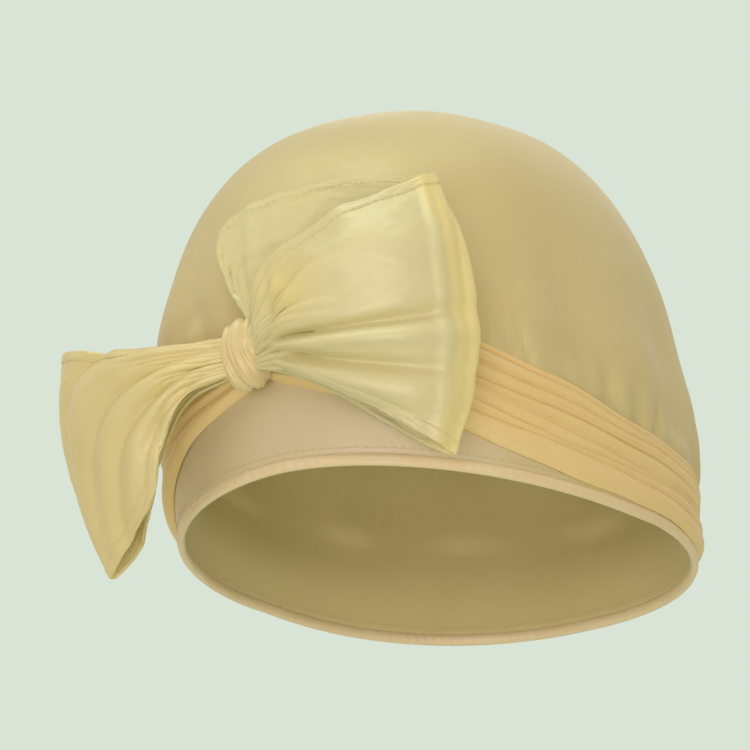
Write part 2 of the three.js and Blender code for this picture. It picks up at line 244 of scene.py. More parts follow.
def between(rows, column, place, mirror=0):
    """A smooth value between a table's rows; past the last one it is mirrored or runs on straight."""
    values = [getattr(row, column) for row in rows]
    beyond = mirror * values[-2] if mirror else 2 * values[-1] - values[-2]
    values = np.array([2 * values[0] - values[1], *values, beyond], float)
    start = np.clip(np.floor(place), 0, len(rows) - 2).astype(int)
    return through(*(values[start + k] for k in range(4)), place - start)


def bell(distance, spread):
    return np.exp(-((distance / spread) ** 2))


def smooth(x, low, high):
    t = np.clip((x - low) / (high - low), 0, 1)
    return t * t * (3 - 2 * t)


def signed_power(value, power):
    return np.sign(value) * np.abs(value) ** power


def turns_apart(a, b):
    return (a - b + 540) % 360 - 180


def strap_at(angle):
    place = np.abs(angle) / STRAP_STEP
    return (between(STRAP, column, place, 1) for column in Strap._fields)


def hem_height(angle):
    return -HEM_DROP * ((1 - np.cos(np.radians(angle))) / 2) ** HEM_SWEEP


def cloth_swell(angle, height, fine=True, folded=1.0):
    """How far the straps, the puff above them and the folds move the crown's cloth outwards."""
    centre, width, _ = strap_at(angle)
    above = height - centre
    top_edge = above - width / 2
    swell = PUFF * bell(above - PUFF_RISE, PUFF_SPREAD) - CINCH * bell(above, CINCH_SPREAD)
    for fold in CROWN_FOLDS:
        sideways = bell(turns_apart(angle, fold.angle), fold.half_angle)
        upwards = smooth(top_edge, 3, 12) * (1 - smooth(top_edge, fold.rise * 0.4, fold.rise * 1.5))
        swell = swell - folded * fold.depth * sideways * upwards
    if not fine:
        return swell
    random = np.random.default_rng(GATHER_SEED)
    fuller = 1 + BACK_FULLNESS * smooth(np.abs(angle), 70, 130)
    for i in range(GATHERS):
        middle = -180 + (i + random.uniform(-0.35, 0.35)) * 360 / GATHERS
        spread = random.uniform(1.2, 2.8)
        rise = random.uniform(12, 42)
        depth = random.uniform(0.45, 1.6)
        lean = random.uniform(-0.16, 0.16)
        away = turns_apart(angle, middle + lean * top_edge)
        crease = bell(away, spread) - 0.45 * bell(away - 2.2 * spread, spread * 1.4)
        fading = smooth(top_edge, -3, 2) * (1 - smooth(top_edge, 2, rise))
        swell = swell - depth * fuller * crease * fading
    return swell


def crown_point(angle, place, fine=True, folded=1.0):
    level = between(CROWN, "level", place, 1)
    hang = 1 - smooth(level, 0, HANG_LEVEL)
    height = level + hem_height(angle) * hang
    side = between(CROWN, "side", place, -1)
    reach = np.where(np.abs(angle) < 90, between(CROWN, "front", place, -1),
                     between(CROWN, "back", place, -1))
    swell = cloth_swell(angle, height, fine, folded) * np.minimum(1, side / CROWN[0].side)
    sin, cos = np.sin(np.radians(angle)), np.cos(np.radians(angle))
    x = np.maximum(side + swell, 0) * signed_power(sin, 2 / ROUNDNESS)
    y = -np.maximum(reach + swell, 0) * signed_power(cos, 2 / ROUNDNESS)
    return np.stack(np.broadcast_arrays(x, y, height), -1)


def unit(vectors):
    return vectors / np.maximum(np.linalg.norm(vectors, axis=-1, keepdims=True), 1e-9)


def crown_normal(angle, place, fine=True, folded=1.0):
    """The way out of the crown's cloth, square to it."""
    turn, step = 0.6, 0.05
    around = crown_point(angle + turn, place, fine, folded)
    around = around - crown_point(angle - turn, place, fine, folded)
    upper = crown_point(angle, np.minimum(place + step, CROWN_TOP), fine, folded)
    up = upper - crown_point(angle, np.maximum(place - step, 0), fine, folded)
    normal = unit(np.cross(around, up))
    top = np.broadcast_to(place > CROWN_TOP - 0.02, normal.shape[:-1])
    normal[top] = (0, 0, 1)
    return normal


def on_crown(angle, height, outwards):
    """Points over the crown's cloth, without its fine gathers, at these heights."""
    low = np.full(np.shape(height), -1.0)
    high = np.full(np.shape(height), float(CROWN_TOP))
    for _ in range(26):
        middle = (low + high) / 2
        below = crown_point(angle, middle, False)[..., 2] < height
        low, high = np.where(below, middle, low), np.where(below, high, middle)
    place = (low + high) / 2
    normal = crown_normal(angle, np.clip(place, 0, CROWN_TOP), False)
    return crown_point(angle, place, False) + normal * np.asarray(outwards)[..., None], normal


def soft_waves(points, size, seed):
    """Slow uneven waves through space, about -1 to 1, as handled cloth has."""
    random = np.random.default_rng(seed)
    total = np.zeros(points.shape[:-1])
    for _ in range(9):
        direction = unit(random.normal(size=3)) * 2 * np.pi / (size * random.uniform(0.7, 1.5))
        total += np.sin(points @ direction + random.uniform(0, 2 * np.pi))
    return total / 4.5


def skin(name, points, faces, places, whole=0):
    """A closed mesh, its faces outwards, with the cloth's map. Whole is the map's width on a piece that
    closes round, where it runs on over the seam."""
    triangles = np.array([f[:3] for f in faces] + [[f[0], f[2], f[3]] for f in faces if len(f) == 4])
    a, b, c = (points[triangles[:, k]] for k in range(3))
    if np.einsum("ij,ij->i", a, np.cross(b, c)).sum() < 0:
        faces = [face[::-1] for face in faces]
    mesh = bpy.data.meshes.new(name)
    mesh.from_pydata(points.tolist(), [], faces)
    corners = np.empty(len(mesh.loops), int)
    mesh.loops.foreach_get("vertex_index", corners)
    laid = places[corners]
    if whole:
        sizes = [len(face) for face in faces]
        first = np.cumsum([0] + sizes[:-1])
        furthest = np.repeat(np.maximum.reduceat(laid[:, 0], first), sizes)
        laid[furthest - laid[:, 0] > whole / 2, 0] += whole
    mesh.uv_layers.new(name="cloth").data.foreach_set("uv", laid.astype(np.float32).ravel())
    mesh.shade_smooth()
    piece = bpy.data.objects.new(name, mesh)
    bpy.context.scene.collection.objects.link(piece)
    return piece


def cloth_piece(name, outer, inner, uv, closed_round=False, pole=False, glow=None):
    """A closed skin of cloth from grids of points, in mm, on its two faces. Rows run along the cloth
    and columns across it. The columns can close round, and the last row can draw together to a pole.
    Glow is painted light: a colour that stands in for light coming through the cloth and light falling
    bright on it."""
    rows, columns = outer.shape[:2]
    count = rows * columns
    points = np.concatenate([outer.reshape(-1, 3), inner.reshape(-1, 3)]) * MM
    places = np.concatenate([uv.reshape(-1, 2)] * 2)
    index = np.arange(count).reshape(rows, columns)
    faces = []

    def join(a, b):
        faces.extend(np.stack([a[:-1], a[1:], b[1:], b[:-1]], -1).reshape(-1, 4).tolist())

    def closed(line, close):
        return np.append(line, line[:1], 0) if close else line

    for row in range(rows - 1):
        here, above = closed(index[row], closed_round), closed(index[row + 1], closed_round)
        join(here, above)
        join(above + count, here + count)
    join(closed(index[0] + count, closed_round), closed(index[0], closed_round))
    if not pole:
        join(closed(index[-1], closed_round), closed(index[-1] + count, closed_round))
    if not closed_round:
        join(index[:, 0], index[:, 0] + count)
        join(index[:, -1] + count, index[:, -1])
    if pole:
        tips = [len(points), len(points) + 1]
        points = np.concatenate([points, points[index[-1]].mean(0, keepdims=True),
                                 points[index[-1] + count].mean(0, keepdims=True)])
        places = np.concatenate([places] + [places[index[-1]].mean(0, keepdims=True)] * 2)
        ring = closed(index[-1], True)
        faces.extend([[int(a), int(b), tips[0]] for a, b in zip(ring, ring[1:])])
        faces.extend([[int(b) + count, int(a) + count, tips[1]] for a, b in zip(ring, ring[1:])])
    whole = (uv[0, 1, 0] - uv[0, 0, 0]) * columns if closed_round else 0
    piece = skin(name, points, faces, places, whole)
    marks = piece.data.attributes
    wrong_side = np.concatenate([np.zeros(count), np.ones(count), [0, 1] if pole else []])
    marks.new("wrong_side", "FLOAT", "POINT").data.foreach_set("value", wrong_side)
    if glow is not None:
        glowing = np.append(np.tile(np.broadcast_to(glow, (rows, columns)).ravel(), 2), [0] * (2 * pole))
        marks.new("glow", "FLOAT", "POINT").data.foreach_set("value", glowing)
    return piece


def satin_group():
    """Fine satin knit: slow changes of tone, close ribs, a roughness that follows them, duller on the
    cloth's wrong side, and a painted glow, a colour that stands in for light coming through the cloth
    and light falling bright on it."""
    group = bpy.data.node_groups.new("satin_knit", "ShaderNodeTree")
    face = group.interface
    face.new_socket("Colour", in_out="INPUT", socket_type="NodeSocketColor")
    face.new_socket("Shade", in_out="INPUT", socket_type="NodeSocketColor")
    face.new_socket("Glow", in_out="INPUT", socket_type="NodeSocketColor")
    for socket, value in (("Ribs per metre", 1900.0), ("Roughness", 0.4), ("Rib depth", 0.5)):
        face.new_socket(socket, in_out="INPUT", socket_type="NodeSocketFloat").default_value = value
    face.new_socket("Colour", in_out="OUTPUT", socket_type="NodeSocketColor")
    face.new_socket("Roughness", in_out="OUTPUT", socket_type="NodeSocketFloat")
    face.new_socket("Height", in_out="OUTPUT", socket_type="NodeSocketFloat")
    nodes, links = group.nodes, group.links
    given, made = nodes.new("NodeGroupInput"), nodes.new("NodeGroupOutput")
    place = nodes.new("ShaderNodeUVMap")
    place.uv_map = "cloth"
    split = nodes.new("ShaderNodeSeparateXYZ")
    links.new(place.outputs[0], split.inputs[0])

    def math_node(operation, first, second=None):
        node = nodes.new("ShaderNodeMath")
        node.operation = operation
        for socket, value in zip(node.inputs, (first, second)):
            if isinstance(value, (int, float)):
                socket.default_value = value
            elif value is not None:
                links.new(value, socket)
        return node.outputs[0]

    across = math_node("MULTIPLY", split.outputs[0], given.outputs["Ribs per metre"])
    along = math_node("MULTIPLY", split.outputs[1], given.outputs["Ribs per metre"])
    rib = math_node("SINE", math_node("MULTIPLY", across, 2 * math.pi))
    course = math_node("SINE", math_node("MULTIPLY", math_node("ADD", along, across), 2 * math.pi))
    knit = math_node("ADD", rib, math_node("MULTIPLY", course, 0.6))
    here = nodes.new("ShaderNodeTexCoord")
    slub = nodes.new("ShaderNodeTexNoise")
    slub.inputs["Scale"].default_value = 420
    slub.inputs["Detail"].default_value = 3
    links.new(here.outputs["Object"], slub.inputs["Vector"])
    slow = nodes.new("ShaderNodeTexNoise")
    slow.inputs["Scale"].default_value = 26
    slow.inputs["Detail"].default_value = 2
    links.new(here.outputs["Object"], slow.inputs["Vector"])
    knit_depth = math_node("MULTIPLY", knit, given.outputs["Rib depth"])
    links.new(math_node("ADD", knit_depth, slub.outputs["Fac"]), made.inputs["Height"])
    tone = math_node("ADD", math_node("MULTIPLY", slow.outputs["Fac"], 0.7),
                     math_node("MULTIPLY", slub.outputs["Fac"], 0.3))
    blend = nodes.new("ShaderNodeMix")
    blend.data_type = "RGBA"
    ramp = nodes.new("ShaderNodeMapRange")
    ramp.inputs["From Min"].default_value = 0.35
    ramp.inputs["From Max"].default_value = 0.75
    links.new(tone, ramp.inputs["Value"])
    links.new(ramp.outputs[0], blend.inputs[0])
    links.new(given.outputs["Colour"], blend.inputs[6])
    links.new(given.outputs["Shade"], blend.inputs[7])
    glow = nodes.new("ShaderNodeAttribute")
    glow.attribute_name = "glow"
    lit = nodes.new("ShaderNodeMix")
    lit.data_type = "RGBA"
    links.new(glow.outputs["Fac"], lit.inputs[0])
    links.new(blend.outputs[2], lit.inputs[6])
    links.new(given.outputs["Glow"], lit.inputs[7])
    links.new(lit.outputs[2], made.inputs["Colour"])
    wrong_side = nodes.new("ShaderNodeAttribute")
    wrong_side.attribute_name = "wrong_side"
    spread = math_node("MULTIPLY", math_node("SUBTRACT", slub.outputs["Fac"], 0.5), 0.12)
    spread = math_node("ADD", spread, math_node("MULTIPLY", wrong_side.outputs["Fac"], 0.48))
    links.new(math_node("ADD", given.outputs["Roughness"], spread), made.inputs["Roughness"])
    return group


satin_knit = satin_group()


def satin(name, colour, shade, roughness=0.42, glow=(1.0, 0.9, 0.4)):
    """Satin cloth: smooth floats with a soft broad gloss, over a fine knit that shows close to."""
    material = bpy.data.materials.new(name)
    material.use_nodes = True
    nodes, links = material.node_tree.nodes, material.node_tree.links
    shader = nodes["Principled BSDF"]
    knit = nodes.new("ShaderNodeGroup")
    knit.node_tree = satin_knit
    knit.inputs["Colour"].default_value = (*colour, 1)
    knit.inputs["Shade"].default_value = (*shade, 1)
    knit.inputs["Glow"].default_value = (*glow, 1)
    knit.inputs["Roughness"].default_value = roughness
    bump = nodes.new("ShaderNodeBump")
    bump.inputs["Strength"].default_value = 0.25
    bump.inputs["Distance"].default_value = 0.00012
    links.new(knit.outputs["Colour"], shader.inputs["Base Color"])
    links.new(knit.outputs["Roughness"], shader.inputs["Roughness"])
    links.new(knit.outputs["Height"], bump.inputs["Height"])
    links.new(bump.outputs["Normal"], shader.inputs["Normal"])
    floats = nodes.new("ShaderNodeTangent")
    floats.direction_type = "UV_MAP"
    floats.uv_map = "cloth"
    links.new(floats.outputs["Tangent"], shader.inputs["Tangent"])
    shader.inputs["Anisotropic"].default_value = 0.5
    shader.inputs["Metallic"].default_value = 0.12
    shader.inputs["Specular IOR Level"].default_value = 0.6
    shader.inputs["Sheen Weight"].default_value = 0.28
    shader.inputs["Sheen Roughness"].default_value = 0.4
    shader.inputs["Sheen Tint"].default_value = (0.94, 1.0, 0.84, 1)
    return material


def lining_depth(place):
    return LINING_DEPTH * (0.45 + 0.55 * smooth(place, 0, 1.2))


# The whole cap is one satin, but each piece has its own colour. The crown's is darker than the bow's,
# which is painted shade.
CROWN_COLOUR = (0.70, 0.63, 0.30)
CROWN_SHADE = (0.66, 0.58, 0.26)
CROWN_PANEL_LIGHT = (0.71, 0.63, 0.38)   # painted light: paler and bluer below the bow, for the light bounced onto it and its sheen
CLOTH_PER_LEVEL = 0.0165     # of the crown's table, up the cloth in metres

angles = np.linspace(-180, 180, CROWN_ROUND, endpoint=False)[None, :]
levels = np.linspace(0, CROWN_TOP, CROWN_LEVELS, endpoint=False)[:, None]
outside = crown_point(angles, levels)
outward = crown_normal(angles, levels)
wave = CROWN_WAVE * smooth(levels, 0, 2)
ripples = soft_waves(outside, CROWN_WAVE_SIZE, CROWN_WAVE_SEED)
outside = outside + outward * (ripples * wave)[..., None]
smooth_outside = crown_point(angles, levels, False, LINING_FOLDS)
smooth_outward = crown_normal(angles, levels, False, LINING_FOLDS)
ripples = soft_waves(smooth_outside, CROWN_WAVE_SIZE, CROWN_WAVE_SEED)
inside = smooth_outside + smooth_outward * (ripples * wave - lining_depth(levels))[..., None]
crown_uv = np.stack(np.broadcast_arrays(angles / 360 * CROWN_GIRTH, levels * CLOTH_PER_LEVEL), -1)
# Painted light: the crown is coloured paler below the bow, where bounced light and a sheen lie.
panel_light = (1 - smooth(np.abs(angles), 40, 75)) * (1 - smooth(levels, 1.2, 2.2))
crown = cloth_piece("crown_cloth", outside, inside, crown_uv, closed_round=True, pole=True, glow=panel_light)
crown.data.materials.append(satin("crown_satin", CROWN_COLOUR, CROWN_SHADE, glow=CROWN_PANEL_LIGHT))
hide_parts("crown")
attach(crown, "root")

# Hem
# The crown's edge is rolled under to a narrow cord of cloth and held by one row of small stitches,
# which draw it up in little puckers.
HEM_HEIGHT = 3.2
HEM_THICKNESS = 2.5
HEM_LIFT = 0.9               # how far the roll reaches up over the crown's cut edge
HEM_UNDER = 0.4              # and below it
HEM_PUCKERS = 150
HEM_LENGTH = 0.52            # in metres
# The hem's colour is paler than the crown's it is rolled from: a painted highlight along the edge.
HEM_COLOUR = (0.88, 0.76, 0.46)
HEM_SHADE = (0.82, 0.69, 0.38)
HEM_ROUND = 600
HEM_SIDES = 14

hem_angles = np.linspace(-180, 180, HEM_ROUND, endpoint=False)
edge = crown_point(hem_angles, np.zeros(HEM_ROUND))
edge_out = crown_normal(hem_angles, np.full(HEM_ROUND, 0.02))
edge_out[:, 2] = 0
edge_out = unit(edge_out)
edge_middle = edge - edge_out * CLOTH / 2
edge_middle[:, 2] -= HEM_HEIGHT / 2 + HEM_UNDER - HEM_LIFT / 2
pucker = 1 + 0.09 * np.sin(np.radians(hem_angles) * HEM_PUCKERS)
pucker += 0.05 * np.sin(np.radians(hem_angles) * 37 + 1)
round_hem = np.linspace(0, 2 * np.pi, HEM_SIDES, endpoint=False)
hem_reach = np.cos(round_hem)[None, :] * pucker[:, None] * HEM_THICKNESS / 2
roll = edge_middle[:, None] + edge_out[:, None] * hem_reach[..., None]
roll[..., 2] += np.sin(round_hem)[None, :] * (HEM_HEIGHT + HEM_LIFT) / 2


def tube_piece(name, rings, uv):
    """A closed tube through rings of points, in mm, joined end to end."""
    rows, columns = rings.shape[:2]
    index = np.arange(rows * columns).reshape(rows, columns)
    around = np.roll(index, -1, 1)
    onwards, diagonal = np.roll(index, -1, 0), np.roll(around, -1, 0)
    faces = np.stack([index, around, diagonal, onwards], -1).reshape(-1, 4).tolist()
    return skin(name, rings.reshape(-1, 3) * MM, faces, uv.reshape(-1, 2))


hem_along = hem_angles[:, None] / 360 * HEM_LENGTH
hem_uv = np.stack(np.broadcast_arrays(round_hem[None, :] * 0.0015, hem_along), -1)
hem = tube_piece("rolled_hem", roll, hem_uv)
hem.data.materials.append(satin("hem_satin", HEM_COLOUR, HEM_SHADE, roughness=0.46))


def thread_satin(name, colour):
    """Polished sewing thread with a slight twist in its shade."""
    material = bpy.data.materials.new(name)
    material.use_nodes = True
    nodes, links = material.node_tree.nodes, material.node_tree.links
    shader = nodes["Principled BSDF"]
    here = nodes.new("ShaderNodeTexCoord")
    twist = nodes.new("ShaderNodeTexNoise")
    twist.inputs["Scale"].default_value = 1500
    links.new(here.outputs["Object"], twist.inputs["Vector"])
    ramp = nodes.new("ShaderNodeValToRGB")
    ramp.color_ramp.elements[0].color = (*(c * 0.85 for c in colour), 1)
    ramp.color_ramp.elements[1].color = (*(min(1, c * 1.12) for c in colour), 1)
    links.new(twist.outputs["Fac"], ramp.inputs[0])
    links.new(ramp.outputs[0], shader.inputs["Base Color"])
    shader.inputs["Roughness"].default_value = 0.5
    shader.inputs["Sheen Weight"].default_value = 0.2
    return material


def stitch_tree():
    """Short rounded stitches laid end to end along a line, each a little longer or shorter."""
    tree = bpy.data.node_groups.new("sewn_stitches", "GeometryNodeTree")
    sockets = {}
    for socket, kind in (("Line", "Geometry"), ("Pitch", "Float"), ("Length", "Float"),
                         ("Thread", "Float"), ("Seed", "Int"), ("Material", "Material")):
        made = tree.interface.new_socket(socket, in_out="INPUT", socket_type=f"NodeSocket{kind}")
        sockets[socket] = made.identifier
    tree.interface.new_socket("Stitches", in_out="OUTPUT", socket_type="NodeSocketGeometry")
    nodes, links = tree.nodes, tree.links
    given, made = nodes.new("NodeGroupInput"), nodes.new("NodeGroupOutput")
    curve = nodes.new("GeometryNodeMeshToCurve")
    links.new(given.outputs["Line"], curve.inputs["Mesh"])
    spots = nodes.new("GeometryNodeCurveToPoints")
    spots.mode = "LENGTH"
    links.new(curve.outputs[0], spots.inputs["Curve"])
    links.new(given.outputs["Pitch"], spots.inputs["Length"])
    bead = nodes.new("GeometryNodeMeshUVSphere")
    bead.inputs["Segments"].default_value = 7
    bead.inputs["Rings"].default_value = 5
    bead.inputs["Radius"].default_value = 0.5
    uneven = nodes.new("FunctionNodeRandomValue")
    uneven.data_type = "FLOAT"
    uneven.inputs[2].default_value = 0.86
    uneven.inputs[3].default_value = 1.14
    links.new(given.outputs["Seed"], uneven.inputs["Seed"])
    longer = nodes.new("ShaderNodeMath")
    longer.operation = "MULTIPLY"
    links.new(given.outputs["Length"], longer.inputs[0])
    links.new(uneven.outputs[1], longer.inputs[1])
    size = nodes.new("ShaderNodeCombineXYZ")
    links.new(given.outputs["Thread"], size.inputs[0])
    links.new(given.outputs["Thread"], size.inputs[1])
    links.new(longer.outputs[0], size.inputs[2])
    laid = nodes.new("GeometryNodeInstanceOnPoints")
    links.new(spots.outputs["Points"], laid.inputs["Points"])
    links.new(bead.outputs["Mesh"], laid.inputs["Instance"])
    links.new(spots.outputs["Rotation"], laid.inputs["Rotation"])
    links.new(size.outputs[0], laid.inputs["Scale"])
    real = nodes.new("GeometryNodeRealizeInstances")
    links.new(laid.outputs[0], real.inputs[0])
    painted = nodes.new("GeometryNodeSetMaterial")
    links.new(real.outputs[0], painted.inputs["Geometry"])
    links.new(given.outputs["Material"], painted.inputs["Material"])
    links.new(painted.outputs[0], made.inputs[0])
    return tree, sockets


stitches_made, stitch_sockets = stitch_tree()


def sew(name, paths, thread, pitch, length, seed, thickness=0.32):
    """Stitches along these lines of points, in mm, each line open or joined into a ring."""
    points, edges = [], []
    for path, ring in paths:
        first, count = len(points), len(path)
        points.extend((path * MM).tolist())
        edges.extend([first + i, first + i + 1] for i in range(count - 1))
        if ring:
            edges.append([first + count - 1, first])
    mesh = bpy.data.meshes.new(name + "_line")
    mesh.from_pydata(points, edges, [])
    line = bpy.data.objects.new(name + "_line", mesh)
    bpy.context.scene.collection.objects.link(line)
    modifier = line.modifiers.new("stitches", "NODES")
    modifier.node_group = stitches_made
    for socket, value in (("Pitch", pitch * MM), ("Length", length * MM), ("Thread", thickness * MM),
                          ("Seed", seed), ("Material", thread)):
        modifier[stitch_sockets[socket]] = value
    seen = line.evaluated_get(bpy.context.evaluated_depsgraph_get())
    sewn = bpy.data.meshes.new_from_object(seen)
    sewn.name = name
    bpy.data.objects.remove(line)
    sewn.shade_smooth()
    piece = bpy.data.objects.new(name, sewn)
    bpy.context.scene.collection.objects.link(piece)
    return piece


HEM_STITCH_RISE = 0.13       # of the crown's lowest level, above the cut edge
seam_place = np.full(HEM_ROUND, HEM_STITCH_RISE)
seam = crown_point(hem_angles, seam_place) + crown_normal(hem_angles, seam_place) * 0.15
hem_thread = thread_satin("hem_thread", CROWN_COLOUR)
seam_depth = lining_depth(HEM_STITCH_RISE) + 0.1
lining_seam = crown_point(hem_angles, seam_place, False)
lining_seam = lining_seam - crown_normal(hem_angles, seam_place, False) * seam_depth
hem_stitches = sew("hem_stitches", [(seam, True), (lining_seam, True)], hem_thread,
                   pitch=2.9, length=2.1, seed=3)
for part in (hem, hem_stitches):
    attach(part, "root")
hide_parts("edge_hem")

# Straps
# Each strap is a long strip of the same satin. It is sewn in at the back, gathered in the hand and
# drawn tight round the side of the crown, so it lies in a few long uneven pleats.
GAP = 0.3
STRAP_START = 2.2
STRAP_END = 179.85
# The straps' colour is brighter and more orange than the crown's, though they are the same satin:
# painted warm light.
STRAP_COLOUR = (0.91, 0.74, 0.34)
STRAP_SHADE = (0.86, 0.66, 0.27)
STRAP_ALONG = 260
STRAP_ACROSS = 120
Pleat = namedtuple("Pleat", "front side back rise")
PLEATS = [                   # the valley below each pleat, from the lower edge at -1 to the upper at 1
    Pleat(-1.00, -1.00, -1.00, 0.86),
    Pleat(-0.66, -0.44, -0.66, 1.00),
    Pleat(-0.34, -0.24, -0.20, 0.74),
    Pleat(-0.10, 0.10, -0.04, 0.96),
    Pleat(0.24, 0.26, 0.34, 0.80),
    Pleat(0.52, 0.66, 0.46, 1.00),
    Pleat(0.80, 0.82, 0.84, 0.70),
    Pleat(1.00, 1.00, 1.00, 0.00),
]
PLEAT_VALLEY = 0.36          # of the strap's thickness, left between two pleats
PLEAT_FULL = 0.36            # a pleat narrower than this is flatter
FINE_PLEATS = 44


def pleated(place, valleys, lean):
    """Rounded pleats between valleys that lean over: 0 in a valley and 1 on a ridge, and which pleat."""
    height = np.zeros(place.shape)
    which = np.zeros(place.shape, int)
    for i, (low, high) in enumerate(zip(valleys, valleys[1:])):
        share = np.clip((place - low) / np.maximum(high - low, 1e-3), 0, 1) ** lean
        ridge = (4 * share * (1 - share)) ** 0.62 * np.clip((high - low) / PLEAT_FULL, 0.1, 1) ** 0.5
        which = np.where(ridge > height, i, which)
        height = np.maximum(height, ridge)
    return height, which


def strap_relief(angle, across, seed):
    """The strap's height over the crown as a share of its thickness: long pleats and finer creases."""
    random = np.random.default_rng(seed)
    share = angle / 180
    place = np.broadcast_to(across, np.broadcast_shapes(angle.shape, across.shape))
    valleys, rises = [], []
    for pleat in PLEATS:
        drift = 0.075 * np.sin(angle / random.uniform(12, 24) + random.uniform(0, 6))
        drift = drift * (1 - pleat.front ** 2)
        line = pleat.front + (pleat.side - pleat.front) * smooth(share, 0, 0.45)
        valleys.append(line + (pleat.back - pleat.side) * smooth(share, 0.5, 1) + drift)
        swing = np.sin(angle / random.uniform(14, 30) + random.uniform(0, 6))
        rises.append(pleat.rise * (0.86 + 0.14 * swing))
    ridge, which = pleated(place, valleys, 1.6)
    rise = np.take_along_axis(np.concatenate(rises, 1), which, 1)
    relief = PLEAT_VALLEY * np.sqrt(1 - place ** 6) + (rise - PLEAT_VALLEY) * ridge
    for _ in range(FINE_PLEATS):
        line = random.uniform(-0.92, 0.92)
        line = line + 0.05 * np.sin(angle / random.uniform(16, 30) + random.uniform(0, 6))
        middle, reach = random.uniform(0, 180), random.uniform(10, 34)
        depth = random.uniform(0.04, 0.13)
        relief = relief - depth * bell(across - line, 0.028) * bell(angle - middle, reach)
    return relief


def make_strap(name, side, seed):
    angle = np.linspace(STRAP_START, STRAP_END, STRAP_ALONG)[:, None]
    across = np.sin(np.linspace(-np.pi / 2, np.pi / 2, STRAP_ACROSS))[None, :]
    centre, width, thickness = strap_at(angle)
    raised = thickness * strap_relief(angle, across, seed)
    wave = (0.3 * np.sin(angle / 7.5 + seed) + 0.2 * np.sin(angle / 3.1 + 2 * seed)) * across
    height = centre + across * width / 2 + wave
    grid = np.broadcast_to(side * angle, height.shape)
    outer, _ = on_crown(grid, height, GAP + np.maximum(raised, 0.35))
    inner, _ = on_crown(grid, height, np.full(height.shape, GAP - 0.25))
    uv = np.stack(np.broadcast_arrays(across * 0.02, angle / 180 * 0.27), -1)
    return cloth_piece(name, outer, inner, uv)


strap_satin = satin("strap_satin", STRAP_COLOUR, STRAP_SHADE, roughness=0.40)
for name, side, seed in (("strap_left", 1, 5), ("strap_right", -1, 8)):
    strap = make_strap(name + "_cloth", side, seed)
    strap.data.materials.append(strap_satin)
    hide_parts(name)
    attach(strap, "root")

# Bow loops
# Each loop is the strap's own cloth, laid double and hemmed along both edges, doubled back to the knot.
# The knot gathers it tight, so folds fan out from there, and it opens to a soft rounded turn. The left
# loop stands up against the crown, the right one hangs down clear of it.
LOOP_CLOTH = 1.0
KNOT_HEIGHT = 34
BOW_STANDOFF = 8
Band = namedtuple("Band", "top_x top_z foot_x foot_z out bulge belly")
Crease = namedtuple("Crease", "x0 z0 x1 z1 bow half depth fade")
Loop = namedtuple("Loop", "name side bend lean turn rows front rear seed flat colour shade "
                  "hollow_x hollow_z glow")
